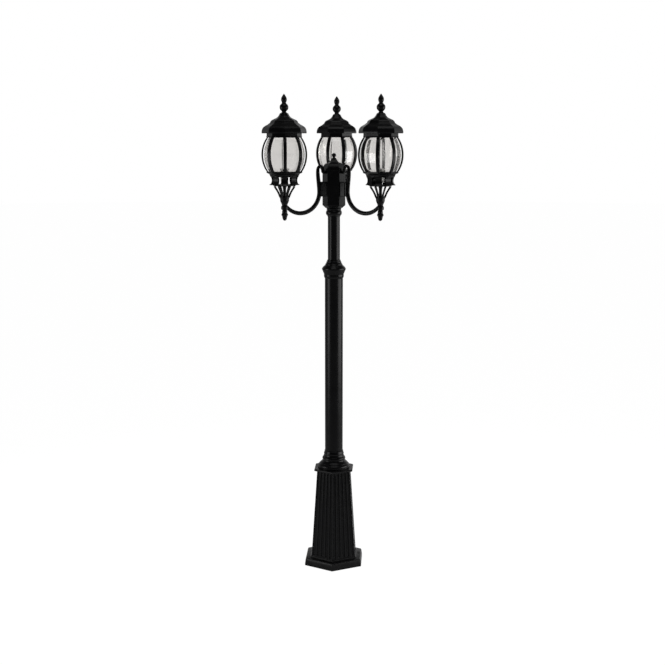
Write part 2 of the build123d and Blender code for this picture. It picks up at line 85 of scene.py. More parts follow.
def colour(name, description, default):
    return bpy.props.FloatVectorProperty(name=name, description=description, size=3,
                                         default=default, min=0, max=1, subtype="COLOR")


def angle(name, description, degrees):
    return bpy.props.FloatProperty(name=name, description=description,
                                   default=radians(degrees), subtype="ANGLE")


class PostSizes(bpy.types.PropertyGroup):
    """Small sizes that only the visible pieces have."""

    edge: length("Edge", "Rounding on cast edges", 0.9 * MM)
    glass_bevel: length("Glass bevel", "Width of the ground border of a pane", 8.5 * MM)
    glass_fall: length("Glass fall", "Depth lost at the edge of a pane", 2.2 * MM)
    flutes: bpy.props.IntProperty(
        name="Flutes", description="Flutes on one face of the column", default=5, min=1)
    flute_depth: length("Flute depth", "Depth of a flute", 5.2 * MM)
    flute_share: factor("Flute share", "Flute width as a share of its pitch", 0.6,
                        0.1, 0.95)


class PostFinish(bpy.types.PropertyGroup):
    """Colours and surface values of the finishes."""

    coat: colour("Coat", "Colour of the black powder coat", (0.0016, 0.0016, 0.0018))
    dust: colour("Dust", "Colour of the dust that settles on the coat",
                 (0.11, 0.1, 0.085))
    coat_rough: factor("Coat roughness", "Mean roughness of the coat", 0.25)
    glass: colour("Glass", "Tint of the panes", (0.85, 0.838, 0.825))
    porcelain: colour("Porcelain", "Colour of the lamp holders", (0.74, 0.73, 0.69))
    zinc: colour("Zinc", "Colour of the plated steel", (0.55, 0.56, 0.57))


class PostStage(bpy.types.PropertyGroup):
    """Camera and light of the studio."""

    azimuth: angle("Azimuth", "Camera angle round the post", 3.1)
    distance: length("Distance", "Level distance to the pole", 5.3, 0.5)
    height: bpy.props.FloatProperty(
        name="Height", description="Height of the camera", default=1.963, unit="LENGTH")
    pitch: angle("Pitch", "Downward tilt of the camera", 9.5)
    lens: bpy.props.FloatProperty(name="Lens", description="Focal length, 36 mm frame",
                                  default=64.42, min=10)


# ------------------------------------------------------------ shapes

def level(node):
    """Lowest and highest height of a CAD node."""
    low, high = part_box(node)
    return low.z, high.z


def axis_of(node):
    """Plan position of the middle of a CAD node."""
    low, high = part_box(node)
    return (low.x + high.x) / 2, (low.y + high.y) / 2


def scaled(points, base=0.0, stretch=1.0):
    """Points in millimetres as metres, their heights counted from a base."""
    return [(x * MM, base + z * MM * stretch) for x, z in points]


def stretched(points, low, high):
    """Millimetre points from height 0 up, their heights fitted from low to high."""
    return scaled(points, low, (high - low) / (points[-1][1] * MM))


def flats(outline):
    """Outline through the corners of a six-sided piece from one through its sides."""
    return [(radius / FLAT_6, height) for radius, height in outline]


def fitted(moulding, low, high):
    """Millimetre moulding whose ends are moved to (radius, height) points in metres."""
    start, end = moulding[0], moulding[-1]
    points = []
    for radius, height in moulding:
        share = (height - start[1]) / (end[1] - start[1])
        shift = (low[0] - start[0] * MM) * (1 - share) + (high[0] - end[0] * MM) * share
        points.append((radius * MM + shift, low[1] + share * (high[1] - low[1])))
    return points


def eased(points, steps=4):
    """Smooth line through the points of an outline."""
    ends = [points[0], *points, points[-1]]
    line = []
    for a, b, c, d in zip(ends, ends[1:], ends[2:], ends[3:]):
        for step in range(steps):
            t = step / steps
            line.append(tuple(
                0.5 * (2 * q + (r - p) * t + (2 * p - 5 * q + 4 * r - s) * t * t
                       + (3 * q - p - 3 * r + s) * t ** 3)
                for p, q, r, s in zip(a, b, c, d)))
    return [*line, points[-1]]


def skin(rings, loop=False):
    """Body over rings of points, closed at its ends or from the last to the first."""
    sides, rows = len(rings[0]), len(rings)
    faces = []
    for row in range(rows if loop else rows - 1):
        above = (row + 1) % rows
        for index in range(sides):
            beside = (index + 1) % sides
            faces.append((row * sides + index, row * sides + beside,
                          above * sides + beside, above * sides + index))
    if not loop:
        faces.append(tuple(reversed(range(sides))))
        faces.append(tuple(range((rows - 1) * sides, rows * sides)))
    return [point for ring in rings for point in ring], faces


def lathe(outline, sides=64, turn=0.0, loop=False):
    """Body round the Z axis from (radius, height) points at its corners."""
    angles = [turn + 2 * pi * index / sides for index in range(sides)]
    return skin([[(radius * cos(a), radius * sin(a), height) for a in angles]
                 for radius, height in outline], loop)


def slab(outline, width):
    """Plate in the XZ plane, centred on Y, from its outline of (x, z) points."""
    return skin([[(x, y, z) for x, z in outline] for y in (-width / 2, width / 2)])


def tube(path, radii, sides=32):
    """Bent bar along (x, z) points with a radius at each point."""
    angles = [2 * pi * side / sides for side in range(sides)]
    rings = []
    for index, (x, z) in enumerate(path):
        before, after = path[max(index - 1, 0)], path[min(index + 1, len(path) - 1)]
        dx, dz = after[0] - before[0], after[1] - before[1]
        way = radii[index] / hypot(dx, dz)
        rings.append([(x - dz * way * cos(a), radii[index] * sin(a),
                       z + dx * way * cos(a)) for a in angles])
    return skin(rings)


def grid(wide, tall, start=0):
    """Faces between rows of points, counted from a start."""
    corners = [start + row * wide + index
               for row in range(tall - 1) for index in range(wide - 1)]
    return [(at, at + 1, at + wide + 1, at + wide) for at in corners]


def arc(first, middle, last, steps=16):
    """Points on the circle through three (x, z) points."""
    (ax, az), (bx, bz), (cx, cz) = first, middle, last
    d = 2 * (ax * (bz - cz) + bx * (cz - az) + cx * (az - bz))
    a2, b2, c2 = ax * ax + az * az, bx * bx + bz * bz, cx * cx + cz * cz
    ox = (a2 * (bz - cz) + b2 * (cz - az) + c2 * (az - bz)) / d
    oz = (a2 * (cx - bx) + b2 * (ax - cx) + c2 * (bx - ax)) / d
    radius = hypot(ax - ox, az - oz)
    start, mid, end = (atan2(z - oz, x - ox) for x, z in (first, middle, last))
    turn = (end - start) % (2 * pi)
    if (mid - start) % (2 * pi) > turn:
        turn -= 2 * pi
    return [(ox + radius * cos(start + turn * i / steps),
             oz + radius * sin(start + turn * i / steps)) for i in range(steps + 1)]


def half_round(radius, steps, middle=0.0):
    """Outline of a ball without its two ends."""
    angles = [pi * step / steps - pi / 2 for step in range(1, steps)]
    return [(radius * cos(a), middle + radius * sin(a)) for a in angles]


def bezier(a, b, c, d, steps=12):
    line = []
    for index in range(steps + 1):
        t = index / steps
        weights = ((1 - t) ** 3, 3 * t * (1 - t) ** 2, 3 * t * t * (1 - t), t ** 3)
        line.append(tuple(sum(w * p[k] for w, p in zip(weights, (a, b, c, d)))
                          for k in range(2)))
    return line


def merged(*bodies):
    """Several bodies of vertices and faces as one."""
    verts, faces = [], []
    for some_verts, some_faces in bodies:
        start = len(verts)
        verts += some_verts
        faces += [tuple(start + index for index in face) for face in some_faces]
    return verts, faces


def moved(body, matrix):
    verts, faces = body
    return [tuple(matrix @ Vector(v)) for v in verts], faces


def outward(mesh, weld=False):
    """The mesh with its faces turned outwards; a weld closes its seams and ends."""
    work = bmesh.new()
    work.from_mesh(mesh)
    if weld:
        bmesh.ops.remove_doubles(work, verts=work.verts, dist=0.05 * MM)
        rim = [edge for edge in work.edges if len(edge.link_faces) == 1]
        bmesh.ops.holes_fill(work, edges=rim)
    bmesh.ops.recalc_face_normals(work, faces=work.faces)
    work.to_mesh(mesh)
    work.free()
    return mesh


def mesh_of(name, body):
    """Mesh of a body of vertices and faces."""
    mesh = bpy.data.meshes.new(name)
    mesh.from_pydata(body[0], [], body[1])
    return outward(mesh)


def shaded(mesh, angle):
    """Smooth shading with creases at sharp angles."""
    mesh.polygons.foreach_set("use_smooth", [True] * len(mesh.polygons))
    mesh.set_sharp_from_angle(angle=radians(angle))
    return mesh


def settings(kind):
    return getattr(bpy.context.scene, "post_" + kind)


def rounded(obj, width):
    """Live rounding on the sharp edges of a piece."""
    bevel = obj.modifiers.new("Rounded edges", "BEVEL")
    bevel.width = width
    bevel.segments = 2
    bevel.limit_method = "ANGLE"
    bevel.angle_limit = radians(28)
    bevel.harden_normals = True


def place(name, shape, nodes=(), edge=None, angle=34, body="post", slot="black_coat"):
    """Put a mesh, or a body of vertices and faces, into the scene as one piece."""
    mesh = mesh_of(name, shape) if isinstance(shape, tuple) else shape
    obj = bpy.data.objects.new(name, shaded(mesh, angle))
    bpy.context.scene.collection.objects.link(obj)
    obj.data.materials.clear()
    obj.data.materials.append(finish_of(slot))
    if edge:
        rounded(obj, edge)
    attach(obj, body)
    if nodes:
        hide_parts(*nodes)


# ------------------------------------------------------------ copies in a ring

def ring_tree():
    """Node tree that repeats a shape round the Z axis and moves the ring into place."""
    name = "Ring of copies"
    if name in bpy.data.node_groups:
        return bpy.data.node_groups[name]
    tree = bpy.data.node_groups.new(name, "GeometryNodeTree")
    for title, kind in (("Shape", "Geometry"), ("Copies", "Int"),
                        ("First angle", "Float"), ("Turn", "Float"),
                        ("Place", "Vector"), ("Finish", "Material")):
        socket(tree, title, "NodeSocket" + kind)
    socket(tree, "Ring", "NodeSocketGeometry", out=True)
    nodes = tree.nodes
    given, result = nodes.new("NodeGroupInput"), nodes.new("NodeGroupOutput")
    points = nodes.new("GeometryNodeMeshLine")
    points.mode = "OFFSET"
    points.inputs["Offset"].default_value = (0, 0, 0)
    index = nodes.new("GeometryNodeInputIndex")
    spin, whole = (nodes.new("ShaderNodeCombineXYZ") for _ in range(2))
    copies = nodes.new("GeometryNodeInstanceOnPoints")
    real = nodes.new("GeometryNodeRealizeInstances")
    shift = nodes.new("GeometryNodeTransform")
    paint = nodes.new("GeometryNodeSetMaterial")
    step = maths(tree, "DIVIDE", 2 * pi, given.outputs["Copies"])
    angle = maths(tree, "MULTIPLY_ADD", index.outputs[0], step,
                  given.outputs["First angle"])
    for source, target in (
            (given.outputs["Copies"], points.inputs["Count"]),
            (angle, spin.inputs["Z"]),
            (points.outputs[0], copies.inputs["Points"]),
            (given.outputs["Shape"], copies.inputs["Instance"]),
            (spin.outputs[0], copies.inputs["Rotation"]),
            (copies.outputs[0], shift.inputs["Geometry"]),
            (given.outputs["Turn"], whole.inputs["Z"]),
            (whole.outputs[0], shift.inputs["Rotation"]),
            (given.outputs["Place"], shift.inputs["Translation"]),
            (shift.outputs[0], real.inputs[0]),
            (real.outputs[0], paint.inputs["Geometry"]),
            (given.outputs["Finish"], paint.inputs["Material"]),
            (paint.outputs[0], result.inputs[0])):
        tree.links.new(source, target)
    return tree


def ring_mesh(name, body, copies, first=0.0, side=None, slot="black_coat", weld=False):
    """Plain mesh of a shape repeated round the pole, or round the lantern of a side."""
    turn = side_turn(side) if side else 0.0
    spot = (*axis_of(side + "_finial"), 0) if side else (0, 0, 0)
    seed = bpy.data.objects.new(name + "_seed", mesh_of(name + "_seed", body))
    bpy.context.scene.collection.objects.link(seed)
    repeat = seed.modifiers.new("Ring", "NODES")
    tree = ring_tree()
    repeat.node_group = tree
    values = {"Copies": copies, "First angle": first, "Turn": turn, "Place": spot,
              "Finish": finish_of(slot)}
    for item in tree.interface.items_tree:
        if item.in_out == "INPUT" and item.name in values:
            repeat[item.identifier] = values[item.name]
    bpy.context.view_layer.update()
    graph = bpy.context.evaluated_depsgraph_get()
    mesh = bpy.data.meshes.new_from_object(seed.evaluated_get(graph))
    seed.modifiers.remove(repeat)
    bpy.data.objects.remove(seed)
    return outward(mesh, weld)


# ------------------------------------------------------------ finishes

def socket(group, name, kind="NodeSocketFloat", default=None, out=False):
    made = group.interface.new_socket(name, in_out="OUTPUT" if out else "INPUT",
                                      socket_type=kind)
    if default is not None:
        made.default_value = default


def maths(tree, operation, *values, clamp=False):
    """Math node whose inputs are sockets or numbers."""
    node = tree.nodes.new("ShaderNodeMath")
    node.operation = operation
    node.use_clamp = clamp
    for index, value in enumerate(values):
        if isinstance(value, (int, float)):
            node.inputs[index].default_value = value
        else:
            tree.links.new(value, node.inputs[index])
    return node.outputs[0]


def ranged(tree, value, low, high, least=0.0, smooth=False):
    """Least value up to 1 while a value goes from low to high."""
    node = tree.nodes.new("ShaderNodeMapRange")
    node.interpolation_type = "SMOOTHSTEP" if smooth else "LINEAR"
    for name, number in (("From Min", low), ("From Max", high), ("To Min", least)):
        node.inputs[name].default_value = number
    tree.links.new(value, node.inputs["Value"])
    return node.outputs["Result"]


def noise(tree, where, scale, detail, roughness=0.5):
    node = tree.nodes.new("ShaderNodeTexNoise")
    node.inputs["Detail"].default_value = detail
    node.inputs["Roughness"].default_value = roughness
    tree.links.new(where.outputs["Object"], node.inputs["Vector"])
    if isinstance(scale, float):
        node.inputs["Scale"].default_value = scale
    else:
        tree.links.new(scale, node.inputs["Scale"])
    return node.outputs["Fac"]


def effect(name, inputs, outputs):
    """New shader group with float sockets; its tree and its inner ends."""
    group = bpy.data.node_groups.new(name, "ShaderNodeTree")
    for title, default in inputs.items():
        socket(group, title, default=default)
    for title in outputs:
        socket(group, title, out=True)
    return (group, group.nodes.new("NodeGroupInput").outputs,
            group.nodes.new("NodeGroupOutput").inputs)


def grain_group():
    """Fine surface grain: a height, and a slow mottle from 0 to 1."""
    name = "Surface grain"
    if name in bpy.data.node_groups:
        return bpy.data.node_groups[name]
    group, given, result = effect(name, {"Fine scale": 900.0, "Slow scale": 14.0},
                                  ("Height", "Mottle"))
    where = group.nodes.new("ShaderNodeTexCoord")
    fine = noise(group, where, given["Fine scale"], 2.0)
    slow = noise(group, where, given["Slow scale"], 5.0, 0.6)
    group.links.new(fine, result["Height"])
    group.links.new(ranged(group, slow, 0.32, 0.68), result["Mottle"])
    return group


def dust_group():
    """Mask of settled dust: on faces that look up, and as splashes near the ground."""
    name = "Settled dust"
    if name in bpy.data.node_groups:
        return bpy.data.node_groups[name]
    group, given, result = effect(name, {"Splash height": 0.16}, ("Dust",))
    nodes, links = group.nodes, group.links
    where, look = nodes.new("ShaderNodeTexCoord"), nodes.new("ShaderNodeNewGeometry")
    spot, way = nodes.new("ShaderNodeSeparateXYZ"), nodes.new("ShaderNodeSeparateXYZ")
    links.new(where.outputs["Object"], spot.inputs[0])
    links.new(look.outputs["Normal"], way.inputs[0])
    up = ranged(group, way.outputs["Z"], 0.55, 1.0)
    low = maths(group, "DIVIDE", spot.outputs["Z"], given["Splash height"])
    low = maths(group, "SUBTRACT", 1.0, low, clamp=True)
    low = maths(group, "MULTIPLY", low, low)
    both = maths(group, "MULTIPLY_ADD", up, 0.8, low)
    cloud = ranged(group, noise(group, where, 38.0, 6.0, 0.7), 0.42, 0.66)
    links.new(maths(group, "MULTIPLY", both, cloud, clamp=True), result["Dust"])
    return group


def grouped(tree, group, **values):
    node = tree.nodes.new("ShaderNodeGroup")
    node.node_tree = group
    for name, value in values.items():
        node.inputs[name.replace("_", " ")].default_value = value
    return node.outputs


def mixed(tree, share, first, second):
    """Colour mix of two colours or sockets."""
    node = tree.nodes.new("ShaderNodeMix")
    node.data_type = "RGBA"
    tree.links.new(share, node.inputs["Factor"])
    for key, value in ((6, first), (7, second)):
        if isinstance(value, tuple):
            node.inputs[key].default_value = (*value, 1.0)
        else:
            tree.links.new(value, node.inputs[key])
    return node.outputs[2]


def grained(tree, shader, fine, slow, rough, bump):
    """Bump and roughness from the grain; gives back its mottle and the roughness."""
    grain = grouped(tree, grain_group(), Fine_scale=fine, Slow_scale=slow)
    node = tree.nodes.new("ShaderNodeBump")
    node.inputs["Strength"].default_value, node.inputs["Distance"].default_value = bump
    tree.links.new(grain["Height"], node.inputs["Height"])
    tree.links.new(node.outputs["Normal"], shader["Normal"])
    uneven = maths(tree, "MULTIPLY_ADD", grain["Mottle"], *rough)
    tree.links.new(uneven, shader["Roughness"])
    return grain["Mottle"], uneven


def coat_finish(tree, shader):
    """Satin black powder coat with a fine texture, patchy gloss and a little dust."""
    look = settings("finish")
    shader["Specular IOR Level"].default_value = 0.13
    mottle, uneven = grained(tree, shader, 1100.0, 16.0, (0.12, look.coat_rough - 0.06),
                             (0.12, 0.0001))
    dust = grouped(tree, dust_group(), Splash_height=0.16)["Dust"]
    tone = tuple(look.coat)
    coat = mixed(tree, mottle, tone, tuple(1.7 * c for c in tone))
    faint = maths(tree, "MULTIPLY", dust, 0.02)
    tree.links.new(mixed(tree, faint, coat, tuple(look.dust)), shader["Base Color"])
    tree.links.new(maths(tree, "MULTIPLY_ADD", dust, 0.2, uneven), shader["Roughness"])


def glass_finish(tree, shader):
    """Clear pane with faint rolling waves and a breath of dirt in its roughness."""
    shader["Base Color"].default_value = (*settings("finish").glass, 1.0)
    shader["Transmission Weight"].default_value = 1.0
    shader["IOR"].default_value = 1.47
    grained(tree, shader, 26.0, 60.0, (0.05, 0.05), (0.02, 0.0006))


def porcelain_finish(tree, shader):
    """Glazed lamp holder, a little uneven and greyer in patches."""
    tone = tuple(settings("finish").porcelain)
    mottle, _ = grained(tree, shader, 240.0, 70.0, (0.12, 0.16), (0.08, 0.0004))
    tree.links.new(mixed(tree, mottle, tone, tuple(0.8 * c for c in tone)),
                   shader["Base Color"])


def zinc_finish(tree, shader):
    """Zinc-plated steel with cloudy spangle and darker patches."""
    tone = tuple(settings("finish").zinc)
    shader["Metallic"].default_value = 1.0
    mottle, _ = grained(tree, shader, 520.0, 90.0, (0.2, 0.3), (0.15, 0.0002))
    tree.links.new(mixed(tree, mottle, tone, tuple(0.6 * c for c in tone)),
                   shader["Base Color"])


def floor_finish(tree, shader):
    """Pale floor that reads as the backdrop and keeps a soft shadow; its colour is a
    painted pool of light, lighter near the post and darker further out.
    """
    nodes, links = tree.nodes, tree.links
    where = nodes.new("ShaderNodeTexCoord")
    reach = nodes.new("ShaderNodeVectorMath")
    reach.operation = "LENGTH"
    links.new(where.outputs["Object"], reach.inputs[0])
    # painted pool of light: the floor colour is lighter near the post and darker far
    # off, seen mostly in reflections and bounce light
    light_pool_fade = ranged(tree, reach.outputs["Value"], 0.7, 3.2, smooth=True)
    links.new(mixed(tree, light_pool_fade, (0.74, 0.74, 0.74), (0.36, 0.36, 0.36)),
              shader["Base Color"])
    shader["Roughness"].default_value = 0.9
    shader["Specular IOR Level"].default_value = 0.0
    glow = nodes.new("ShaderNodeEmission")
    glow.inputs["Strength"].default_value = 1.06
    blend = nodes.new("ShaderNodeMixShader")
    links.new(maths(tree, "MULTIPLY", seen_by_eye(tree), 0.92), blend.inputs["Fac"])
    links.new(nodes["Principled BSDF"].outputs[0], blend.inputs[1])
    links.new(glow.outputs[0], blend.inputs[2])
    links.new(blend.outputs[0], nodes["Material Output"].inputs["Surface"])


def seen_by_eye(tree):
    """1 for what the camera sees, straight or through glass."""
    path = tree.nodes.new("ShaderNodeLightPath").outputs
    return maths(tree, "MAXIMUM", path["Is Camera Ray"], path["Is Transmission Ray"])


FINISHES = {"black_coat": ("Black powder coat", coat_finish),
            "clear_glass": ("Clear bevelled glass", glass_finish),
            "white_porcelain": ("Glazed porcelain", porcelain_finish),
            "zinc_steel": ("Zinc plated steel", zinc_finish),
            "floor": ("Studio floor", floor_finish)}


def finish_of(slot):
    """Material of a slot, made the first time it is asked for."""
    name, make = FINISHES[slot]
    if name not in bpy.data.materials:
        material = bpy.data.materials.new(name)
        material.use_nodes = True
        make(material.node_tree, material.node_tree.nodes["Principled BSDF"].inputs)
    return bpy.data.materials[name]


# ------------------------------------------------------------ post

def plinth_body():
    low, register = level("base_plinth")
    top = level("base_column")[0]
    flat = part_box("base_plinth")[1].x
    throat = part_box("base_column")[1].x
    moulding = [
        (129.0, 0), (128.9, 6), (128.3, 13), (127.3, 21), (126.4, 27.6), (125.4, 30),
        (124.6, 31.2), (124.6, 32.2), (122.8, 33.6), (119, 34.4), (112, 35.2),
        (106.8, 35.9), (105.6, 36.2), (105.4, 38), (104.4, 39.8), (102.6, 41.2),
        (101.6, 41.6), (101.4, 43),
    ]
    outer = fitted(moulding, (flat, low), (throat + 2.2 * MM, top))
    inner = [(throat - 9 * MM, top), (throat - 9 * MM, register),
             (throat - 13 * MM, register), (throat - 13 * MM, 26 * MM),
             *scaled([(105, 16), (105, 8), (122, 8)]), (122 * MM, low)]
    return lathe(flats(outer + inner), 6, TURN_6, loop=True)


def column_face():
    """One face of the column towards +X, with its flutes sunk into it."""
    size = settings("sizes")
    low, high = level("base_column")
    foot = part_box("base_column")[1].x
    top = foot - COLUMN_TAPER
    ends = (low + 9 * MM, high - 9 * MM)
    shares = {0.0, 1.0}
    arcs = 7
    for index in range(size.flutes):
        middle = (index + 0.5) / size.flutes
        half = size.flute_share / size.flutes / 2
        for step in range(-arcs, arcs + 1):
            shares.add(round(middle + half * sin(step / arcs * pi / 2), 6))
    shares = sorted(shares)
    rows = {low, high, (low + high) / 2}
    for share in range(0, 13):
        for end, way in ((ends[0], 1), (ends[1], -1)):
            rows.add(round(end + way * (share - 7) * 1.2 * MM, 6))
    rows = sorted(row for row in rows if low <= row <= high)
    verts = []
    for row in rows:
        apothem = foot + (top - foot) * (row - low) / (high - low)
        face = 2 * apothem * tan(TURN_6)
        half = size.flute_share * face / size.flutes / 2
        radius = (half ** 2 + size.flute_depth ** 2) / (2 * size.flute_depth)
        beyond = max(ends[0] - row, row - ends[1], 0.0)
        for share in shares:
            near = (int(min(share * size.flutes, size.flutes - 1)) + 0.5) / size.flutes
            off = hypot((share - near) * face, beyond)
            sunk = 0.0
            if off < half:
                sunk = sqrt(radius ** 2 - off ** 2) - (radius - size.flute_depth)
            verts.append((apothem - sunk, (share - 0.5) * face, row))
    return verts, grid(len(shares), len(rows))


def cap_body():
    low, high = level("base_column")[1], level("base_cap")[1]
    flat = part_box("base_cap")[1].x
    moulding = [
        (78.0, 0), (81.8, 0.4), (84.4, 1.4), (86.2, 2.9), (87, 4.6), (87, 7.2),
        (86.5, 8.8), (85.4, 9.4), (85.2, 10.4), (84, 11), (83, 11),
    ]
    points = fitted(moulding, (flat - 9 * MM, low), (flat - 4 * MM, high))
    return lathe([(34 * MM, low), *flats(points), (34 * MM, high)], 6, TURN_6)


def collar_body():
    low = level("base_cap")[1]
    high = level("lower_pole")[0]
    moulding = [
        (72.5, 0), (73, 0.8), (73, 5.6), (72.4, 6.8), (71.6, 7.6), (71.4, 12.6),
        (70.6, 14.4), (68.6, 16.4), (66, 18.4), (64.6, 20.4), (63.4, 22.8), (60, 25.4),
        (56.4, 28.4), (53.6, 31.6), (51.8, 35), (51, 37.6), (51.2, 39), (52.4, 40.4),
        (52.8, 43), (52.4, 46), (51.2, 48.4), (49, 50.8), (47, 53.8), (45.6, 57.6),
        (44.8, 61.4), (44.8, 63.2), (45.5, 64.8), (45.5, 67.6), (44.6, 69.6),
        (43.4, 73), (42.4, 75.8), (42.5, 77.4), (42.4, 79.6), (41.3, 81),
    ]
    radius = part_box("lower_pole")[1].x
    return lathe(fitted(moulding, (72.5 * MM, low), (radius + 0.8 * MM, high)), 96)


def reducer_body():
    low, high = level("lower_pole")[1], level("upper_pole")[0]
    moulding = [
        (40.9, 0), (42, 1.5), (43.4, 4.5), (44.4, 9), (44.8, 13.5), (44, 16.5),
        (44.2, 18), (46.0, 22.5), (47.8, 27), (49.4, 31.5), (51.6, 36), (53, 39.5),
        (53.3, 41.5), (52.8, 45), (49.7, 49.5), (45, 54), (40.4, 58), (38.6, 60.5),
        (38.4, 63), (36.6, 65), (35, 67.5), (33.5, 71.5), (33.4, 74), (31.6, 75),
        (30.4, 77), (30.6, 79.5), (30, 81.5), (27.8, 83),
    ]
    lower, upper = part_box("lower_pole")[1].x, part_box("upper_pole")[1].x
    ends = (lower + 0.4 * MM, low), (upper + 0.8 * MM, high)
    return lathe(fitted(moulding, *ends), 96)


def neck_body():
    low, high = level("upper_pole")[1], level("hub_body")[0]
    moulding = [
        (27.6, 0), (29.2, 1.6), (29.4, 4), (31.6, 6), (33.8, 9.5), (35.2, 13.5),
        (35.6, 18), (35, 22), (33.2, 25.5), (31.8, 27.5), (31.4, 30), (32.6, 32),
        (32.8, 34.5), (31.5, 37),
    ]
    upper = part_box("upper_pole")[1].x
    outline = fitted(moulding, (upper + 0.6 * MM, low), (31.5 * MM, high))
    return lathe(eased(outline, 3), 72)


def pole_body(node):
    """Tube with softened rims that meet the collars."""
    low, high = level(node)
    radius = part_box(node)[1].x
    return lathe([(radius - 0.6 * MM, low), (radius, low + 0.8 * MM),
                  (radius, low + 3 * MM), (radius, high - 3 * MM),
                  (radius, high - 0.8 * MM), (radius - 0.6 * MM, high)], 96)


def hub_shell():
    low, high = level("hub_body")
    floor = low + 12 * MM
    outline = flats([(31.4 * MM, low), (44.4 * MM, low + 13 * MM), (44.4 * MM, high),
                     (38.4 * MM, high), (38.4 * MM, floor)])
    return lathe([(TIP, low), *outline, (TIP, floor)], 6)


def lug_body():
    """Small cast seat on the hub under the hook of an arm."""
    outline = [(43.8, -12), (50, -12), (56, -9.5), (60.4, -4), (60.6, 0), (43.8, 0)]
    return slab(scaled(outline, level("left_arm")[1] - HOOK_DROP), 14 * MM)


def cap_shell():
    """Ogee cap of the hub, hollow underneath."""
    low, high = level("hub_cap")
    outer = [(44.4, 0), (44.4, 3), (43.9, 7), (42.4, 12), (40.4, 17), (38, 21.4),
             (35.2, 25.4), (31.6, 28.4), (25.6, 31.2), (20.2, 33.8), (16.6, 37),
             (13.8, 41.2), (11.4, 45.6), (9.6, 50)]
    points = stretched(outer, low, high)
    inner = [(radius - 4 * MM, height - 2 * MM) for radius, height in points[2:-2]]
    inner = [(points[0][0] - 4 * MM, low), *inner, (TIP, high - 10 * MM)]
    return lathe(flats([*reversed(inner), *eased(points, 2), (TIP, high)]), 6)


def knob_body():
    """Ball nut with a washer foot."""
    low, high = level("hub_finial")
    outline = scaled([(9.6, 0), (9.8, 0.9), (9.2, 1.8), (6.9, 3), (6.4, 4.4)], low)
    radius = 9.6 * MM
    outline += half_round(radius, 22, high - radius)[2:]
    return lathe([*outline, (TIP, high)], 48)


# ------------------------------------------------------------ arms

def arm_shape():
    """S-bend of an arm in the XZ plane, with its eye round the lantern axis."""
    reach = hypot(*axis_of("left_finial"))
    upper, lower = level("left_cup")[0], level("left_tail")[1]
    eye = (upper + lower) / 2
    seat = level("left_arm")[1] - HOOK_DROP
    bend = eye + 65 * MM
    top, leg = (79.4 * MM, seat), (72 * MM, bend)
    lift, pull = 28.8 * MM, (seat - bend) / 3
    start = (54 * MM, seat)
    hook = bezier(start, (start[0], seat + lift), (top[0], seat + lift), top, 20)
    fall = bezier(top, (top[0], seat - pull), (leg[0], bend + pull), leg, 14)
    centre = 163 * MM
    radius = 91 * MM
    low = bend - eye - 2 * MM
    whole = pi - atan2(low, sqrt(radius ** 2 - low ** 2))
    sweep = [pi + whole * i / 40 for i in range(1, 41)]
    bow = [(centre + radius * cos(a), bend + radius * sin(a)) for a in sweep]
    thin, thick = 6.4 * MM, 9.5 * MM
    radii = [thin] * 11
    radii += [thin + (thick - thin) * 0.5 * (i / 10) ** 2 for i in range(1, 11)]
    radii += [thin + (thick - thin) * (0.5 + 0.5 * (1 - (1 - i / 14) ** 2))
              for i in range(1, 15)]
    radii += [thick - 1.5 * MM * max(0.0, 2 * i / 40 - 1) ** 2 for i in range(1, 41)]
    bar = tube(hook + fall[1:] + bow, radii)
    half = (upper - lower) / 2
    rise = [(0.7, 1), (0.78, 0.88), (0.84, 0.8), (0.97, 0.6), (1, 0.36)]
    bead = [(15.6 * MM * r, -half * z) for r, z in rise]
    bead += [(15.6 * MM * r, half * z) for r, z in reversed(rise)]
    eye_ring = moved(lathe(bead, 48), Matrix.Translation((reach, 0, eye)))
    end_x, end_z = bow[-1]
    weld = moved(lathe(half_round(7.9 * MM, 12), 32),
                 Matrix.Translation((end_x, 0, end_z)))
    return merged(bar, eye_ring, weld)


def side_turn(side):
    """Angle of an arm about the pole."""
    x, y = axis_of(side + "_finial")
    return atan2(y, x)


def side_spot(side):
    """Matrix from a lantern's own axis to its place on the post."""
    x, y = axis_of(side + "_finial")
    return Matrix.Translation((x, y, 0)) @ Matrix.Rotation(side_turn(side), 4, "Z")


# ------------------------------------------------------------ lanterns

def tail_body():
    low, high = level("left_tail")
    drop = [(9.6, 0), (10.6, 2.5), (11.4, 5), (11.6, 9), (11.6, 12), (12.2, 14.6),
            (13.6, 16.6), (14.6, 18.8), (14.6, 21.2), (13.6, 23.4), (11.8, 25.4),
            (10.9, 28), (10.2, 32), (9.4, 36), (8.2, 40), (6, 43.4), (3.2, 45.4),
            (0.3, 46)]
    hanging = scaled(reversed(drop), high, (low - high) / (drop[-1][1] * MM))
    return lathe(eased(hanging, 3), 40)


def foot_body():
    """Turned foot of the lantern with its slim stem and the ring over the struts."""
    low, high = level("left_cup")
    foot = low + CUP_FOOT
    moulding = [(11.6, 0), (12.6, 1.6), (12.5, 3.4), (12.8, 5.5), (14, 8), (15.6, 11.5),
                (17.2, 15), (18.6, 19.4), (19.4, 24), (19.2, 27.5), (20.2, 30.5),
                (20.6, 33), (20.4, 36.5), (19, 38.5), (17, 40), (12, 41)]
    base = fitted(moulding, (11.6 * MM, low), (12 * MM, foot))
    stem = [(7.5, 2), (7.2, 8), (6.9, 18), (7.2, 30), (8.6, 37), (9.4, 40), (9.4, 43)]
    body = lathe(eased(base, 2) + scaled(stem, foot) + [(9 * MM, high)], 48)
    rim = [(40, 1.2), (41, 0), (48, 0), (49, 0.8), (49, 3.2), (48, 4), (40.4, 4)]
    ring = lathe(scaled(rim, high - 4 * MM), loop=True)
    return merged(body, ring)


